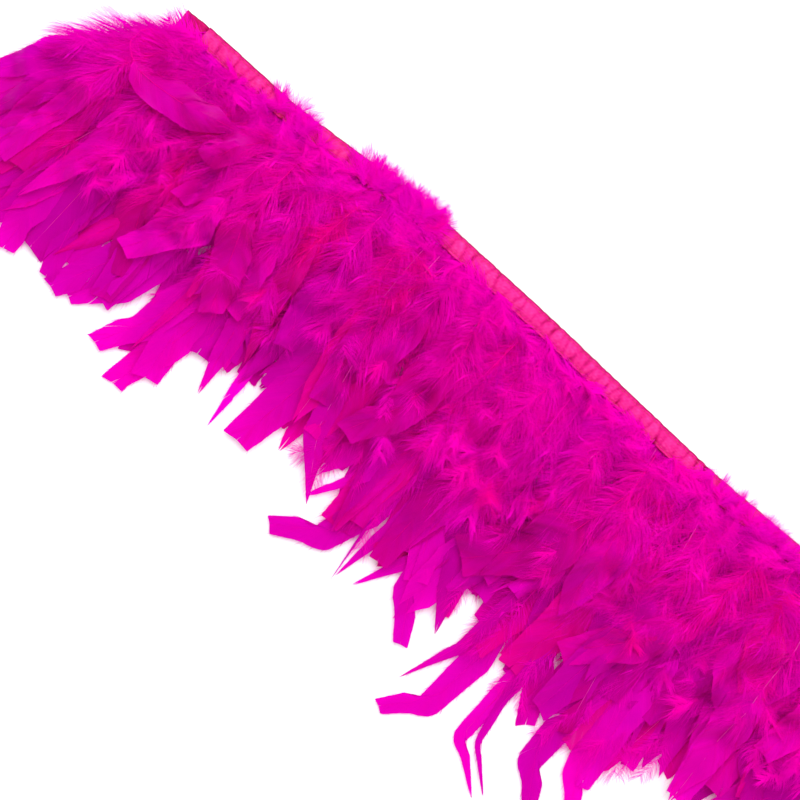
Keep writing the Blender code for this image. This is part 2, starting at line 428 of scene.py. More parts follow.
draw = np.random.default_rng(31)
heap = new_heap()
for k in range(int((LENGTH - FRONT_RIBBON_START) / QUILL_SPACING)):
    at = FRONT_RIBBON_START + 1.5 + k * QUILL_SPACING + draw.uniform(-0.4, 0.4)
    lean = draw.uniform(-0.9, 0.9)
    reach = np.linspace(draw.uniform(1.0, 2.6), 9.1, 5)
    path = to_frame(np.clip(at + lean * (reach - 5) / 5, 0.6, LENGTH - 0.6), reach, 1.7 + 0.0 * reach)
    thread_tube(heap, path, QUILL_RADIUS * MM, sides=5)
quill_ends = finish_mesh(heap, "quill_ends", quill)
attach(quill_ends, "header")
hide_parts("quill_butts")

heap = new_heap()
at = np.arange(FRONT_RIBBON_START + 0.5, LENGTH - 1.0, STRINGING_STEP)
weave = 1.85 + 0.5 * np.sin(at * 2 * math.pi / (2 * QUILL_SPACING))
thread_tube(heap, to_frame(at, 5.0 + 0.0 * at, weave), STRINGING_RADIUS * MM)
stringing = finish_mesh(heap, "quill_stringing_thread", thread)
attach(stringing, "header")
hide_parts("stringing_thread")


# ----------------------------------------------
# Feathers: dyed flats with long downy bases. Each has a quill, a soft flat vane at its end, and
# loose curling down for more than half its length. Two courses hang from the ribbons, one over
# the other; each row of a course is one piece, held at its root by the sewing.
# ----------------------------------------------
ROWS = 12
ROW_WIDTH = LENGTH / ROWS
ROOT_REACH = 2.5
ROOT_HEIGHT = 1.7
# How high the top of the feathers lies above the floor, in mm, at distances in mm from the ribbon's
# top edge. Single feathers and their barbs stand a little higher.
CROWN_AT = [-20, 0, 9, 22, 45, 70, 95, 120, 145, 170, 200]
CROWN_BY = [5.0, 4.0, 3.0, 13.0, 24.0, 21.0, 13.0, 8.0, 5.0, 3.5, 3.0]
# How far any feather goes, in mm: up and down from the floor and from the ribbon's top edge, and past
# the trim's two ends. It slows down softly before the floor and above the ribbon.
LOWEST = 0.45
FLOOR_EASE = 1.2
HIGHEST = 36.0
SOFT_LIMIT_FROM = 4.0
SOFT_LIMIT_UP = 7.2
FARTHEST_DOWN = 193.0
PAST_ENDS = 62.0

# Dyed feather: dull, thin keratin that glows when light comes through it. Each feather took the dye
# a little differently, from violet to rose. Painted shade makes the down darkest deep inside, where
# little light gets out again. Lines along the vanes' barbs are half a millimetre apart, a little
# coarser than real ones, so that they show.
feather, tree, out = start_material("dyed_feather_barbs")
dye = add_node(tree, "ShaderNodeAttribute", {"attribute_name": "dye"})
depth = add_node(tree, "ShaderNodeAttribute", {"attribute_name": "depth"})
uv = add_node(tree, "ShaderNodeUVMap", {"uv_map": "grain"})
barb_lines = add_node(tree, "ShaderNodeMapping", Vector=uv.outputs[0], Scale=(1.1, 0.04, 1.0))
lines = add_node(
    tree, "ShaderNodeTexNoise", Vector=barb_lines.outputs[0], Scale=1.0, Detail=4.0, Roughness=0.7
)
patches = add_node(tree, "ShaderNodeMapping", Vector=uv.outputs[0], Scale=(0.07, 0.04, 1.0))
cloud = add_node(tree, "ShaderNodeTexNoise", Vector=patches.outputs[0], Scale=1.0, Detail=2.0)
cloud_share = add_node(
    tree, "ShaderNodeMapRange", Value=cloud.outputs[0], i1=0.3, i2=0.7, i3=-0.06, i4=0.06
)
hue = add_node(
    tree, "ShaderNodeMath", {"operation": "ADD", "use_clamp": True},
    i0=dye.outputs["Fac"], i1=cloud_share.outputs[0],
)
bath = add_node(tree, "ShaderNodeValToRGB", Fac=hue.outputs[0])
bath.color_ramp.elements[0].position = 0.0
bath.color_ramp.elements[0].color = linear("#DC00C8")
bath.color_ramp.elements[1].position = 1.0
bath.color_ramp.elements[1].color = linear("#FF5AD6")
for place, colour in ((0.35, "#FC00DA"), (0.6, "#FF00CE"), (0.78, "#FA00A6"), (0.88, "#FF10B4")):
    bath.color_ramp.elements.new(place).color = linear(colour)
line_share = add_node(tree, "ShaderNodeMapRange", Value=lines.outputs[0], i1=0.3, i2=0.7, i3=0.92, i4=1.04)
# lightness is the depth attribute, which holds the down's painted shade and each vane's own lightness, times
# the barb lines.
lightness = add_node(
    tree, "ShaderNodeMath", {"operation": "MULTIPLY"}, i0=depth.outputs["Fac"], i1=line_share.outputs[0]
)
dyed = add_node(
    tree, "ShaderNodeVectorMath", {"operation": "SCALE"}, i0=bath.outputs[0], Scale=lightness.outputs[0]
)
face = add_node(
    tree,
    "ShaderNodeBsdfPrincipled",
    Base_Color=dyed.outputs[0],
    Roughness=0.6,
    Specular_IOR_Level=0.25,
    Specular_Tint=linear("#FF00C0"),
    Sheen_Weight=0.15,
    Sheen_Roughness=0.5,
    Sheen_Tint=linear("#FF10D0"),
)
glow = add_node(tree, "ShaderNodeBsdfTranslucent", Color=dyed.outputs[0])
thin = add_node(tree, "ShaderNodeMixShader", Fac=0.5, i1=face.outputs[0], i2=glow.outputs[0])
tree.links.new(thin.outputs[0], out.inputs[0])


HILL_SPACING = 8.5
HILL_SHARE = 0.34
hill_knots = np.random.default_rng(77).normal(0.0, 0.62, (140, 40)).clip(-1.3, 1.3)


def crown(reach):
    """The height of the top of the feathers at a distance from the ribbon's top edge."""
    return np.interp(reach, CROWN_AT, CROWN_BY)


def hills(along, reach):
    """The fluff's own hills and pockets, from about -1 to 1, smooth over a few millimetres."""
    u = (along + 90.0) / HILL_SPACING
    v = (reach + 25.0) / HILL_SPACING
    i, j = np.floor(u).astype(int), np.floor(v).astype(int)
    f, g = u - i, v - j
    f, g = f * f * (3 - 2 * f), g * g * (3 - 2 * g)
    i, j = np.clip(i, 0, 138), np.clip(j, 0, 38)
    here = hill_knots[i, j] * (1 - f) + hill_knots[i + 1, j] * f
    beside = hill_knots[i, j + 1] * (1 - f) + hill_knots[i + 1, j + 1] * f
    return here * (1 - g) + beside * g


def fluffy(reach):
    """How much of the surface is loose down at a distance from the ribbon's top edge, from 0 to 1."""
    return np.interp(reach, [6.0, 18.0, 95.0, 130.0], [0.0, 1.0, 1.0, 0.15])


def quill_line(bends, layer, tip_lift):
    """A feather's quill from its root through the places in bends, at 1 mm steps: place, direction, side
    and up. bends are (along, reach) in mm; layer is its share of the crown's height."""
    corner = np.array(bends, float)
    leg = np.linalg.norm(np.diff(corner, axis=0), axis=1)
    length = leg.sum()
    s = np.linspace(0.0, length, max(int(length), 12) + 1)
    plain = np.stack([np.interp(s, np.r_[0, np.cumsum(leg)], corner[:, k]) for k in (0, 1)], 1)

    def eased(width):
        window = np.hanning(2 * width + 3)[1:-1]
        window /= window.sum()
        padded = np.concatenate(
            [2 * plain[0] - plain[width:0:-1], plain, 2 * plain[-1] - plain[-2:-width - 2:-1]]
        )
        return np.stack([np.convolve(padded[:, k], window, "valid") for k in (0, 1)], 1)

    wide, close = min(14, len(s) - 2), min(6, len(s) - 2)
    share = np.clip((s / length - 0.35) / 0.25, 0, 1)[:, None]
    flat = eased(wide) * (1 - share) + eased(close) * share
    leave = np.clip((flat[:, 1] - 9.0) / 16.0, 0, 1)
    leave = leave * leave * (3 - 2 * leave)
    height = ROOT_HEIGHT * (1 - leave) + leave * np.maximum(layer * crown(flat[:, 1]), 0.8)
    height = height + tip_lift * np.clip((s / length - 0.6) / 0.4, 0, 1) ** 2
    place = np.stack([flat[:, 0], -flat[:, 1], height], 1)
    ahead = np.gradient(place, axis=0)
    ahead /= np.linalg.norm(ahead, axis=1)[:, None] + 1e-9
    side = np.cross(ahead, [0.0, 0.0, 1.0])
    side /= np.linalg.norm(side, axis=1)[:, None] + 1e-9
    up = np.cross(side, ahead)
    return {"s": s, "length": length, "place": place, "ahead": ahead, "side": side, "up": up}


def along_quill(line, s, *names):
    """The quill's own vectors at distances s from its root."""
    k = np.clip(s, 0, line["length"] - 1e-6) / line["length"] * (len(line["s"]) - 1)
    lo = k.astype(int)
    f = (k - lo)[..., None]
    return [line[n][lo] * (1 - f) + line[n][np.minimum(lo + 1, len(line["s"]) - 1)] * f for n in names]


def settle(points):
    """Local points (along, -reach, height) as frame points, above the floor and inside the trim's size."""
    along, reach, height = points[..., 0], -points[..., 1], points[..., 2]
    height = height * (1 + HILL_SHARE * fluffy(reach) * hills(along, reach))
    past = np.maximum(-SOFT_LIMIT_FROM - reach, 0.0)
    slowed = -SOFT_LIMIT_FROM - SOFT_LIMIT_UP * (1 - np.exp(-past / SOFT_LIMIT_UP))
    reach = np.minimum(np.where(past > 0, slowed, reach), FARTHEST_DOWN)
    lying = LOWEST + (FLOOR_EASE - LOWEST) * np.exp((height - FLOOR_EASE) / FLOOR_EASE)
    height = np.minimum(np.where(height < FLOOR_EASE, lying, height), HIGHEST)
    along = np.clip(along, -PAST_ENDS, LENGTH + PAST_ENDS)
    return to_frame(along, reach, height)


def add_quill(heap, line, dye):
    """The tapering quill itself, three-sided."""
    s = np.linspace(0.0, line["length"], 14)
    place, side, up = along_quill(line, s, "place", "side", "up")
    radius = np.interp(s / line["length"], [0.0, 0.45, 1.0], [0.50, 0.26, 0.07])[:, None, None]
    turn = np.array([math.pi / 2, math.pi * 7 / 6, math.pi * 11 / 6])
    ring = place[:, None] + radius * (
        np.cos(turn)[None, :, None] * side[:, None] + np.sin(turn)[None, :, None] * up[:, None]
    )
    grain = np.stack(np.broadcast_arrays(s[:, None], turn[None, :]), -1).reshape(-1, 2)
    put(heap, settle(ring).reshape(-1, 3), dye, grain, fours=grid_faces(len(s), 3, closed=True))


def add_strips(heap, middle, half, dye, grain_start, facing=(0.0, 0.0, 0.0), depth=1.0):
    """Many thin barbs at once: middle is (barb, step, xyz), half is half the width at all steps but the
    last."""
    n, steps = middle.shape[:2]
    left = middle[:, :-1] + half
    right = middle[:, :-1] - half
    body = np.stack([left, right], axis=2).reshape(n, 2 * (steps - 1), 3)
    points = np.concatenate([body, middle[:, -1:]], axis=1)
    each = points.shape[1]
    first = (np.arange(n) * each)[:, None]
    fours = [first + np.array([2 * j + 1, 2 * j, 2 * j + 2, 2 * j + 3]) for j in range(steps - 2)]
    threes = first + np.array([2 * steps - 3, 2 * steps - 4, 2 * steps - 2])
    step_of = np.r_[np.repeat(np.arange(steps - 1), 2), steps - 1]
    across = np.r_[np.tile([0.6, -0.6], steps - 1), 0.0]
    grain = np.stack(
        np.broadcast_arrays(grain_start[:, None] + across[None, :], step_of[None, :] * 4.0), -1
    )
    if np.ndim(facing) == 3:
        facing = facing[:, step_of].reshape(-1, 3)
    if np.ndim(depth) == 2:
        depth = depth[:, step_of].ravel()
    put(
        heap,
        settle(points).reshape(-1, 3),
        np.repeat(np.broadcast_to(dye, (n,)), each),
        grain.reshape(-1, 2),
        fours=np.concatenate(fours) if fours else None,
        threes=threes,
        facing=facing,
        depth=depth,
    )


def wander(draw, s, scale, size):
    """A random value along s that changes from one to the next over scale millimetres."""
    knots = np.arange(s.min() - 2 * scale, s.max() + 3 * scale, scale)
    return np.interp(s, knots, draw.normal(0.0, size, len(knots)))


LOCK_SHARE = 0.045
LOCK_WIDTH = (0.7, 1.6)
LOCK_DROP = 2.0
HAIR_WIDTH = 0.15
BARB_STEPS = 4
# Painted shade in the down's colour: how light the deepest down is painted, as a share, and how much darker
# the pockets between its hills are painted.
DEEPEST_PAINTED_LIGHTNESS = 0.50
POCKET_PAINTED_SHADE = 0.55


def add_down(heap, draw, line, start, end, count, longest, dye, curl=1.0, spread=0.85,
             lock_share=LOCK_SHARE):
    """Loose down on both sides of the quill from start to end: soft locks of barbs stuck together, and
    single hairs between and past them. They part, curl and swirl together in groups."""
    if count < 2:
        return
    s = np.sort(draw.uniform(start, end, count))
    lock = draw.random(count) < lock_share
    side_sign = np.where(draw.random(count) < 0.5, -1.0, 1.0)
    share = (s - start) / max(end - start, 1e-6)
    length = longest * (0.5 + 0.5 * np.sin(np.pi * np.clip(0.15 + 0.75 * share, 0, 1)))
    length = length * np.exp(wander(draw, s, 4.0, 0.20)) * np.where(
        lock, draw.uniform(0.55, 0.9, count), draw.uniform(0.8, 1.15, count)
    )
    lock_a = wander(draw, s, 6.0, 0.28)
    lock_b = wander(draw, s, 6.0, 0.28)
    open_angle = spread + np.where(side_sign > 0, lock_a, lock_b) + draw.normal(0, 0.2, count)
    roll_a = wander(draw, s, 7.0, 0.5)
    roll_b = wander(draw, s, 7.0, 0.5)
    roll = np.where(side_sign > 0, roll_a, roll_b) + draw.normal(0, 0.25, count)
    bend = 0.45 + wander(draw, s, 6.0, 0.3) + draw.normal(0, 0.15, count)
    swirl = curl * (wander(draw, s, 6.0, 0.4) + draw.normal(0, 0.2, count))
    place, ahead, side, up = along_quill(line, s, "place", "ahead", "side", "up")
    out_way = side_sign[:, None] * (np.cos(roll)[:, None] * side) + np.sin(roll)[:, None] * up
    cross_way = np.cross(ahead, out_way)
    t = np.linspace(0.0, 1.0, BARB_STEPS)[None, :, None]
    reach_out = np.sin(open_angle)[:, None, None] * out_way[:, None]
    forward = np.cos(open_angle)[:, None, None] * ahead[:, None]
    middle = place[:, None] + length[:, None, None] * (
        t * (reach_out + forward)
        + 0.55 * t * t * (bend[:, None, None] * ahead[:, None] - 0.35 * reach_out)
        + 0.5 * t * t * swirl[:, None, None] * cross_way[:, None]
    )
    run = np.gradient(middle, axis=1)
    run /= np.linalg.norm(run, axis=2)[..., None] + 1e-9
    flat_way = np.cross(run, [0.0, 0.0, 1.0])
    flat_way /= np.linalg.norm(flat_way, axis=2)[..., None] + 1e-9
    tilt = np.where(lock, draw.uniform(-0.5, 0.5, count), draw.uniform(-0.9, 0.9, count))[:, None, None]
    wide_way = np.cos(tilt) * flat_way + np.sin(tilt) * np.cross(flat_way, run)
    at = np.linspace(0, 1, BARB_STEPS)[:-1]
    taper = np.where(
        lock[:, None],
        np.interp(at, [0, 0.33, 0.67, 1.0], [0.4, 1.0, 0.75, 0.3])[None],
        np.interp(at, [0, 0.5, 1.0], [1.0, 0.9, 0.5])[None],
    )
    wide = np.where(lock, draw.uniform(*LOCK_WIDTH, count), HAIR_WIDTH)
    half = 0.5 * wide[:, None, None] * taper[..., None] * wide_way[:, :-1]
    away = middle - place[:, None]
    along, reach = middle[..., 0], -middle[..., 1]
    slope = 0.9 * HILL_SHARE * fluffy(reach) * crown(reach)
    tip_x = slope * (hills(along + 1.0, reach) - hills(along - 1.0, reach)) / 2
    tip_y = slope * (hills(along, reach - 1.0) - hills(along, reach + 1.0)) / 2
    facing = np.stack([-tip_x, -tip_y, 1.0 + 0.0 * tip_x], -1) + away * (0.6 / longest)
    facing = facing / np.linalg.norm(facing, axis=2)[..., None]
    # Painted shade: the down's colour is darker deep in the fluff and in the pockets between its hills, and
    # lighter towards the barb tips.
    level = middle[..., 2] / np.maximum(crown(reach), 3.0)
    level = level + POCKET_PAINTED_SHADE * fluffy(reach) * hills(along, reach)
    depth = np.clip(DEEPEST_PAINTED_LIGHTNESS + (1 - DEEPEST_PAINTED_LIGHTNESS) * (level + 0.22 + 0.25 * t[..., 0]), DEEPEST_PAINTED_LIGHTNESS, 1.0)
    barb_dye = dye + wander(draw, s, 6.0, 0.03) + draw.normal(0, 0.01, count)
    middle[lock, :, 2] -= LOCK_DROP
    short = ~lock & (np.arange(count) % 3 > 0)
    for kind, keep in ((lock, [0, 1, 2, 3]), (short, [0, 2, 3]), (~lock & ~short, [0, 1, 2, 3])):
        if kind.sum() > 1:
            add_strips(
                heap, middle[kind][:, keep], half[kind][:, keep[:-1]], barb_dye[kind], s[kind],
                facing[kind][:, keep], depth[kind][:, keep],
            )


VANE_SHADE = (0.62, 0.90)
VANE_STEP = 1.45
# Loose barb ends a millimetre of vane edge, at a fringe of 1, and half their width.
LOOSE_ENDS = 1.3
LOOSE_HALF_WIDTH = 0.14


def add_vane(heap, draw, line, start, width, dye, cut, roll, cup, fringe, splits, taper):
    """The flat vane from start to the tip: two webs of barbs, split in places, with loose barb ends.
    cut is where the end is squared off, (distance past the tip, slant), or None for a pointed end;
    taper is the width left at the tip."""
    length = line["length"]
    shade = draw.uniform(*VANE_SHADE)
    tip_angle = 0.22 if cut is None else 0.42
    for sign in (-1.0, 1.0):
        breaks = np.sort(draw.uniform(start + 6, length - 1, draw.integers(0, splits + 1)))
        edges = np.r_[start, breaks, length]
        for low, high in zip(edges[:-1], edges[1:]):
            rows = max(int((high - low) / VANE_STEP), 2) + 1
            s = np.linspace(low, high, rows)
            share = (s - start) / (length - start)
            angle = np.interp(share, [0, 0.55, 0.92, 1.0], [0.95, 0.72, tip_angle, 0.02])
            angle = angle + draw.normal(0, 0.07)
            full = 0.5 * width / 0.70
            barb = full * np.interp(share, [0, 0.18, 0.6, 1.0], [0.55, 1.0, 0.95, taper])
            barb = barb * (1 + draw.normal(0, 0.010, rows))
            if cut is not None:
                closing = np.maximum(np.cos(angle) - cut[1] * sign * np.sin(angle), 0.15)
                barb = np.minimum(barb, np.maximum((length + cut[0] - s) / closing, 0.5))
            t = np.array([0.0, 0.35, 0.7, 1.0])[None, :]
            turn = angle[:, None] * (1 - 0.22 * t)
            place, ahead, side, up = along_quill(line, s, "place", "ahead", "side", "up")
            leaf = roll + draw.normal(0, 0.035)
            out_way = sign * math.cos(leaf) * side + math.sin(leaf) * sign * up
            lift = np.cross(out_way, ahead) * -sign
            run = barb[:, None] * t
            web = (
                place[:, None]
                + (run * np.cos(turn))[..., None] * ahead[:, None]
                + (run * np.sin(turn))[..., None] * out_way[:, None]
                + (cup * run * run / max(full, 1))[..., None] * lift[:, None]
            )
            grain = np.stack(np.broadcast_arrays(s[:, None] * 2.0, run), -1).reshape(-1, 2)
            faces = grid_faces(rows, 4)
            if sign < 0:
                faces = faces[:, ::-1]
            web_dye = dye + draw.normal(0, 0.02)
            put(heap, settle(web).reshape(-1, 3), web_dye, grain, fours=faces, depth=shade)
            loose = int(fringe * (high - low) * LOOSE_ENDS)
            if loose > 1:
                k = np.sort(draw.uniform(0, rows - 1.001, loose))
                lo = k.astype(int)
                f = (k - lo)[:, None]
                inner = web[lo, 2] * (1 - f) + web[lo + 1, 2] * f
                outer = web[lo, 3] * (1 - f) + web[lo + 1, 3] * f
                way = outer - inner
                way /= np.linalg.norm(way, axis=1)[:, None] + 1e-9
                kept = np.where((s[lo] > length - 9.0) & (cut is not None), 0.35, 1.0)
                past = (draw.exponential(1.6, loose).clip(0.3, 7.0) * kept)[:, None]
                drift = ahead[lo] * draw.normal(0.15, 0.15, loose)[:, None]
                middle = np.stack([inner, outer + 0.3 * past * way, outer + past * (way + drift)], axis=1)
                half = LOOSE_HALF_WIDTH * ahead[lo][:, None] * np.array([1.0, 0.75])[None, :, None]
                end_dye = dye + draw.normal(0.03, 0.03, loose)
                add_strips(heap, middle, half, end_dye, s[lo] * 2.0, depth=shade)


# Barbs of down on a front and on a back feather. Those with more than FULL_DOWN also have short
# down close round the root.
FRONT_DOWN = 570
BACK_DOWN = 240
FULL_DOWN = 300
ROOT_DOWN = 64
DOWN_DEEPER = 0.05


def add_feather(heap, draw, bends, width, tone, layer, vane=0.42, cut=None, roll=0.0, cup=0.0, fringe=1.0,
                splits=2, taper=0.55, down=FRONT_DOWN, down_length=20.0, tip_lift=0.0, bare=4.5):
    """One whole feather. vane is the share of its length that is flat vane, bare the length with no down,
    tone its place in the dye's range of hues from 0 to 1."""
    line = quill_line(bends, layer, tip_lift)
    length = line["length"]
    start = length * (1 - vane)
    # Most quills are a touch paler than their feather; 15 in a hundred are much paler, a painted highlight
    # along the quill.
    add_quill(heap, line, tone + (0.4 if draw.random() < 0.15 else 0.04))
    add_vane(heap, draw, line, start, width, tone, cut, roll, cup, fringe, splits, taper)
    down_end = start + 0.14 * (length - start)
    add_down(heap, draw, line, bare, down_end, down, down_length, tone - DOWN_DEEPER)
    if down > FULL_DOWN:
        add_down(heap, draw, line, bare - 1.5, bare + 8.5, ROOT_DOWN, 9.0, tone, lock_share=0.12)


def add_plume(heap, draw, bends, heights, barbs, longest, tone, lock_share=0.04):
    """A short soft plume with no vane. heights are its quill's heights in mm at its two ends."""
    line = quill_line(bends, 0.0, 0.0)
    rise = np.linspace(0, 1, len(line["s"]))
    line["place"][:, 2] = heights[0] + (heights[1] - heights[0]) * rise ** 0.7
    add_down(heap, draw, line, 0.0, line["length"], barbs, longest, tone, curl=1.3, lock_share=lock_share)


# Feathers of the front course that are set one by one. Their places are fixed and don't follow the trim's
# sizes: where each is rooted along the ribbon, the places (along, reach) its quill passes, its width, tone
# and layer, then what is special.
CHOSEN = [
    (40, [(6, 42), (-7, 87), (-6, 127)], 22, 0.6, 0.5, dict(cut=(2.0, 0.1), taper=1.0)),
    (45, [(20, 60), (7, 121), (9, 142)], 19, 0.55, 0.6, dict(cut=(2.0, 0.2), taper=0.95)),
    (50, [(27, 70), (17, 112), (12, 141)], 10, 0.42, 0.4, dict()),
    (58, [(36, 60), (25, 107), (33, 139)], 17, 0.5, 0.6, dict(cut=(2.0, -0.2), taper=0.9)),
    (82, [(73, 60), (61, 96), (39, 141)], 20, 0.47, 0.6, dict(cut=(2.0, 0.2), taper=0.95)),
    (90, [(79, 70), (66, 117), (49, 139)], 16, 0.5, 0.5, dict(cut=(2.0, 0.2), taper=0.85)),
    (107, [(98, 70), (86, 122), (73, 146)], 20, 0.55, 0.6, dict(cut=(3.0, 0.2), taper=1.0)),
    (113, [(107, 80), (101, 123), (92, 156)], 21, 0.6, 0.5, dict(cut=(3.0, 0.2), taper=1.0)),
    (122, [(115, 60), (117, 95), (124, 134)], 12, 0.6, 0.7, dict()),
    (148, [(142, 60), (136, 111), (138, 145)], 8, 0.45, 0.5, dict()),
    (175, [(167, 60), (161, 95), (154, 141)], 25, 0.6, 0.95,
     dict(vane=0.5, cut=(3.0, 0.1), fringe=0.3, splits=0, taper=1.2)),
    (168, [(169, 60), (172, 84), (179, 114), (196, 140)], 14, 0.6, 0.95,
     dict(vane=0.45, fringe=0.5, splits=0)),
    (215, [(216, 60), (212, 112), (197, 139)], 8, 0.47, 0.6, dict(cut=(3.0, 0.3))),
    (232, [(229, 70), (225, 118), (216, 146), (193, 162)], 18, 0.55, 0.6,
     dict(vane=0.4, cut=(2.0, 0.2), fringe=1.6, splits=1, taper=1.0)),
    (226, [(224, 80), (226, 119), (231, 163)], 3.5, 0.1, 0.7, dict(roll=0.9, fringe=1.6)),
    (240, [(240, 80), (237, 120), (232, 157)], 9, 0.5, 0.6, dict()),
    (262, [(260, 80), (256, 126), (242, 155)], 9, 0.5, 0.5, dict()),
    (255, [(256, 70), (258, 108), (261, 138), (275, 160)], 17, 0.5, 0.7,
     dict(cut=(3.0, -0.2), fringe=0.5, splits=1, taper=0.95)),
    (300, [(306, 80), (309, 136), (306, 170), (289, 190)], 16, 0.5, 0.6,
     dict(vane=0.38, cut=(1.5, 0.2), fringe=0.6, splits=0, taper=0.9)),
    (303, [(303, 90), (299, 142), (287, 172)], 8, 0.6, 0.8, dict(fringe=2.0)),
    (334, [(331, 90), (328, 147), (327, 173), (348, 191)], 11, 0.5, 0.6, dict()),
    (338, [(334, 90), (331, 148), (335, 171), (353, 188)], 5, 0.47, 0.7, dict()),
    (362, [(361, 80), (359, 126), (359, 157), (374, 180)], 17, 0.5, 0.6, dict(cut=(2.0, 0.2), taper=0.8)),
    (372, [(371, 80), (371, 122), (378, 149), (392, 170)], 15, 0.55, 0.7,
     dict(cut=(2.0, -0.2), taper=0.8)),
    (405, [(409, 60), (413, 97), (424, 127)], 14, 0.5, 0.9, dict()),
    (78, [(72, 20), (58, 48)], 18, 0.66, 1.4,
     dict(vane=0.6, cut=(2.0, 0.2), splits=0, taper=0.9, down=260)),
    (82, [(74, 72), (54, 104)], 20, 0.6, 1.25, dict(vane=0.5, cut=(2.0, 0.2), splits=0, taper=0.9)),
    (88, [(90, 60), (104, 102)], 20, 0.68, 1.3, dict(vane=0.5, cut=(2.0, 0.2), splits=0, taper=0.9)),
    (308, [(309, 37), (297, 80), (272, 111)], 29, 0.68, 1.3,
     dict(vane=0.6, cut=(2.0, 0.0), fringe=0.4, splits=0, taper=1.1, down=420)),
    (412, [(417, 70), (421, 125)], 22, 0.64, 1.2, dict(vane=0.5)),
    (395, [(390, 60), (384, 108)], 25, 0.62, 0.9, dict(vane=0.5, cut=(3.0, 0.1), splits=0, taper=1.0)),
    (380, [(372, 50), (361, 80), (337, 111)], 23, 0.66, 1.2,
     dict(vane=0.5, cut=(2.0, 0.1), splits=0, taper=1.0)),
    (312, [(315, 40), (322, 93)], 22, 0.64, 1.2, dict(vane=0.5, splits=0)),
    (18, [(-6, 16), (-8, 32), (8, 39), (32, 37), (57, 29)], 20, 0.66, 1.5,
     dict(vane=0.5, fringe=0.5, splits=0, taper=0.35, down=140, down_length=12.0, bare=15.0)),
    (16, [(-4, 46), (-20, 66), (-36, 95)], 18, 0.55, 1.0, dict(vane=0.62, bare=15.0)),
    (15, [(-15, 38), (-33, 62), (-50, 86)], 17, 0.42, 0.8, dict(vane=0.6, bare=15.0)),
    (24, [(4, 52), (-12, 84), (-30, 112)], 17, 0.42, 0.7, dict(vane=0.55, bare=15.0)),
    (30, [(10, 60), (-4, 95), (-16, 130)], 15, 0.5, 0.6, dict(vane=0.5)),
    (14, [(-6, 22), (-22, 42), (-36, 58)], 10, 0.47, 0.9, dict(vane=0.2, bare=15.0)),
    (46, [(38, 50), (35, 90), (35, 127)], 24, 0.55, 0.35,
     dict(vane=0.5, cut=(2.0, 0.1), splits=0, taper=1.0)),
    (15, [(-8, 30), (-24, 54), (-44, 84)], 15, 0.5, 0.7, dict(vane=0.45, bare=15.0)),
]
# How far down the fringe hangs: the longest tips allowed, in mm, at places along it.
HANG_AT = [
    -60, 20, 50, 70, 90, 105, 115, 147, 160, 178, 200, 212, 232, 242, 252, 270, 282, 292, 302, 316, 332,
    350, 368, 385, 398, 440, 460, 500, 540, 580, 620, 660, 700, 740, 780, 820, 860, 914, 980,
]
HANG_BY = [
    142, 140, 134, 138, 156, 148, 130, 124, 146, 126, 144, 154, 136, 152, 142, 160, 132, 124, 160, 146,
    158, 142, 160, 160, 136, 134, 150, 138, 156, 132, 148, 160, 140, 152, 134, 150, 142, 140, 138,
]
FEATHERS_A_ROW = 14
FAN_FEATHERS = 9
PLUMES_A_ROW = 30
ROOT_PLUMES_A_ROW = 26
# Where loose down lies up over the ribbon: from, to, how many plumes, and how far from its top edge
# they end.
FLUFF_BARBS = 190
FLUFF_OVER_RIBBON = [
    (24, 62, 9, 9.5), (62, 82, 12, 1.0), (84, 112, 4, 9.0), (117, 157, 44, -1.5), (336, 402, 26, 4.0),
    (476, 512, 16, 0.0), (610, 664, 24, -2.0), (758, 800, 16, 3.0), (850, 905, 22, -2.0),
]
# Where wisps of down hang low between the tips, (along, reach) in mm.
WISP_BARBS = 170
WISPS = [
    (86, 104), (189, 122), (198, 110), (225, 132), (276, 121), (280, 112), (303, 130), (330, 138),
    (362, 134), (384, 130), (401, 121), (450, 118), (494, 124), (538, 110), (590, 122), (640, 128),
    (696, 118), (752, 126), (806, 112), (858, 124),
]


def end_splay(at):
    """How far a feather leans out sideways at its tip, in mm, near the trim's two ends."""
    left = np.clip(1 - at / 90.0, 0, 1)
    right = np.clip(1 - (LENGTH - at) / 90.0, 0, 1)
    return 44.0 * (right ** 1.5 - left ** 1.5)


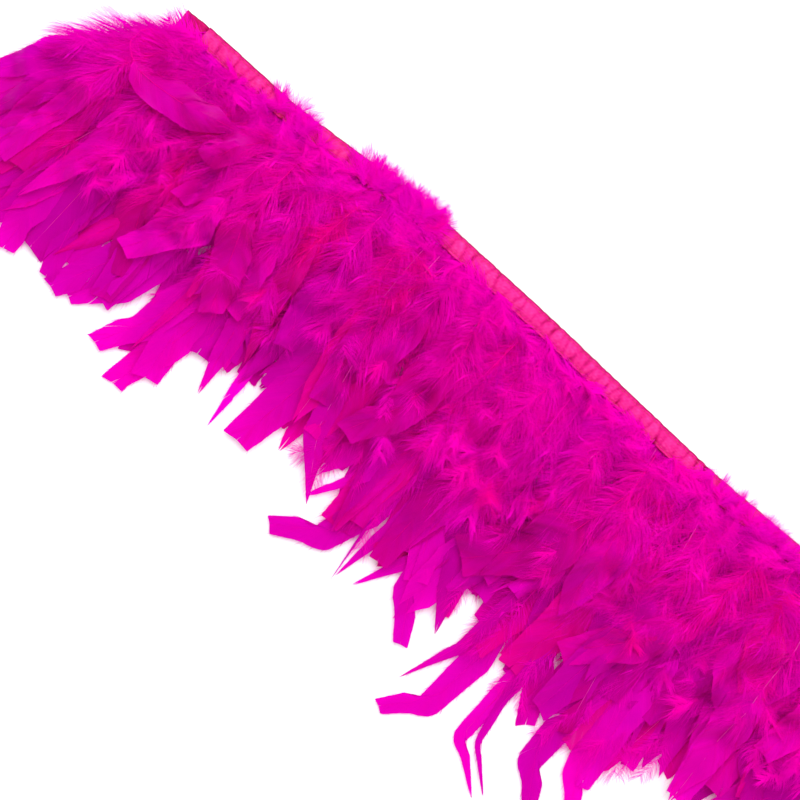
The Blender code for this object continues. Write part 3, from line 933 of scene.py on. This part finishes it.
def chance_feather(draw, at, course):
    """Places, width and style of one feather that isn't set one by one."""
    lean = draw.normal(0, 11.0) + end_splay(at)
    longest = np.interp(at + lean, HANG_AT, HANG_BY) - 8.0
    short = draw.random() < (0.5 if course == "front" else 0.15)
    tip_reach = draw.uniform(66, 116) if short else longest - abs(draw.normal(0, 8.0))
    bow = draw.normal(0, 5.0)
    middle = (at + 0.35 * lean + bow, 0.45 * tip_reach)
    neck = (at + 0.70 * lean + 0.6 * bow, 0.76 * tip_reach)
    kink = draw.normal(0, 7.0) if draw.random() < 0.35 else draw.normal(0, 2.5)
    tip = (at + lean + kink, tip_reach)
    width = draw.uniform(13, 25) if draw.random() < 0.8 else draw.uniform(4, 8)
    blunt = draw.random() < 0.75
    return dict(
        bends=[(at, ROOT_REACH), middle, neck, tip],
        width=width,
        tone=float(np.clip(draw.normal(0.60, 0.115), 0.36, 0.84)),
        layer=(draw.uniform(0.85, 1.12) if short else draw.uniform(0.4, 0.95)) if course == "front"
        else draw.uniform(0.05, 0.42),
        vane=draw.uniform(0.42, 0.58) if short else draw.uniform(0.36, 0.52),
        cut=(draw.uniform(1.5, 4.5), draw.uniform(-0.32, 0.32)) if blunt else None,
        taper=draw.uniform(0.9, 1.15) if blunt else draw.uniform(0.4, 0.65),
        roll=draw.normal(0, 0.30),
        cup=draw.normal(0, 0.16),
        fringe=draw.uniform(0.4, 1.8),
        splits=int(draw.choice([0, 0, 1, 1, 2])),
        tip_lift=draw.normal(0.5, 1.2),
    )


def fan_feather(draw, course, mirrored):
    """A feather that leans out past an end of the trim."""
    at = draw.uniform(15, 42)
    lean = math.radians(draw.uniform(6, 39))
    long = draw.uniform(85, 138)
    tip = (max(at - long * math.sin(lean), -56.0), long * math.cos(lean))
    bow = draw.uniform(-10, 2)
    places = [(at, ROOT_REACH), (at + 0.5 * (tip[0] - at) + bow, 0.42 * tip[1]), tip]
    if mirrored:
        places = [(LENGTH - x, r) for x, r in places]
    return dict(
        bends=places, width=draw.uniform(18, 28), tone=float(np.clip(draw.normal(0.58, 0.10), 0.38, 0.8)),
        layer=draw.uniform(0.4, 1.0) if course == "front" else draw.uniform(0.1, 0.45),
        vane=draw.uniform(0.4, 0.55), taper=draw.uniform(0.9, 1.1), roll=draw.normal(0, 0.2),
        cut=(draw.uniform(1.5, 4.0), draw.uniform(-0.3, 0.3)),
        cup=draw.normal(0, 0.12), fringe=draw.uniform(0.5, 1.5), splits=int(draw.integers(0, 2)), bare=11.0,
    )


def build_row(course, number):
    """All the feathers of one row."""
    draw = np.random.default_rng(1000 + 100 * (course == "back") + number)
    heap = new_heap()
    low = (number - 1) * ROW_WIDTH
    down = FRONT_DOWN if course == "front" else BACK_DOWN
    for k in range(FEATHERS_A_ROW):
        at = low + (k + 0.5 + draw.uniform(-0.35, 0.35)) * ROW_WIDTH / FEATHERS_A_ROW
        at = float(np.clip(at, 15.0, LENGTH - 3.0))
        add_feather(heap, draw, down=down, **chance_feather(draw, at, course))
    if number in (1, ROWS):
        for k in range(FAN_FEATHERS):
            add_feather(heap, draw, down=down, **fan_feather(draw, course, number == ROWS))
    if course == "front":
        for root, bends, width, tone, layer, style in CHOSEN:
            if low <= root < low + ROW_WIDTH:
                add_feather(heap, draw, [(root, ROOT_REACH), *bends], width, tone, layer, **style)
        for k in range(ROOT_PLUMES_A_ROW):
            at = max(low + draw.uniform(0, ROW_WIDTH), 15.0)
            reach = draw.uniform(7.0, 13.0)
            size = draw.uniform(10, 20)
            heading = draw.normal(0, 0.6) - (0.9 if at < 25 else 0.0)
            far = (at + size * math.sin(heading), reach + size * math.cos(heading))
            near = (0.5 * (at + far[0]) + draw.normal(0, 2), 0.5 * (reach + far[1]))
            add_plume(
                heap, draw, [(at, reach), near, far], (3.2, draw.uniform(8, 15)),
                int(size * 11), draw.uniform(8, 12), float(np.clip(draw.normal(0.5, 0.05), 0.2, 0.8)),
            )
        for first, last, number_of, highest in FLUFF_OVER_RIBBON:
            for k in range(number_of):
                at = draw.uniform(first, last)
                if not low <= at < low + ROW_WIDTH:
                    continue
                reach = draw.uniform(8.5, 11.5)
                far = (at + draw.normal(0, 4), highest + abs(draw.normal(0, 2.0)))
                near = (0.5 * (at + far[0]) + draw.normal(0, 2), 0.5 * (reach + far[1]))
                add_plume(
                    heap, draw, [(at, reach), near, far], (4.0, draw.uniform(5.0, 9)),
                    FLUFF_BARBS, draw.uniform(6.5, 9), float(np.clip(draw.normal(0.45, 0.08), 0.2, 0.8)),
                    lock_share=0.0,
                )
                add_down(
                    heap, draw, quill_line([(at, reach), near, far], 0.6, 2.0), 4.0, 9.0, 3,
                    draw.uniform(12, 19), 0.75, curl=2.0, spread=0.6, lock_share=0.0,
                )
        for at, reach in WISPS:
            if low <= at < low + ROW_WIDTH:
                for aside in (-4.0, 4.0):
                    far = (at + 1.5 * aside + draw.normal(0, 4), reach + draw.uniform(8, 15))
                    add_plume(
                        heap, draw, [(at, reach - 14), (at + aside, reach), far], (6.0, draw.uniform(3, 6)),
                        WISP_BARBS, draw.uniform(8, 12), 0.55, lock_share=0.0,
                    )
        for k in range(PLUMES_A_ROW):
            at = low + draw.uniform(0, ROW_WIDTH)
            reach = draw.uniform(8, 82)
            top = crown(reach)
            size = draw.uniform(10, 26)
            heading = draw.normal(0, 0.6)
            far = (at + size * math.sin(heading), reach + size * math.cos(heading))
            near = (0.5 * (at + far[0]) + draw.normal(0, 2), 0.5 * (reach + far[1]))
            add_plume(
                heap, draw, [(at, reach), near, far],
                (top * draw.uniform(0.4, 0.8), top * draw.uniform(0.8, 1.15) + 1.5),
                int(size * 13), draw.uniform(9, 16), float(np.clip(draw.normal(0.54, 0.07), 0.2, 0.85)),
            )
    return finish_mesh(heap, f"{course}_feathers_{number:02d}", feather)


for number in range(1, ROWS + 1):
    for course in ("front", "back"):
        piece = build_row(course, number)
        bunches = [f"{course}_bunch_{2 * number - 1:02d}", f"{course}_bunch_{2 * number:02d}"]
        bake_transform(piece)
        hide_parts(*bunches)
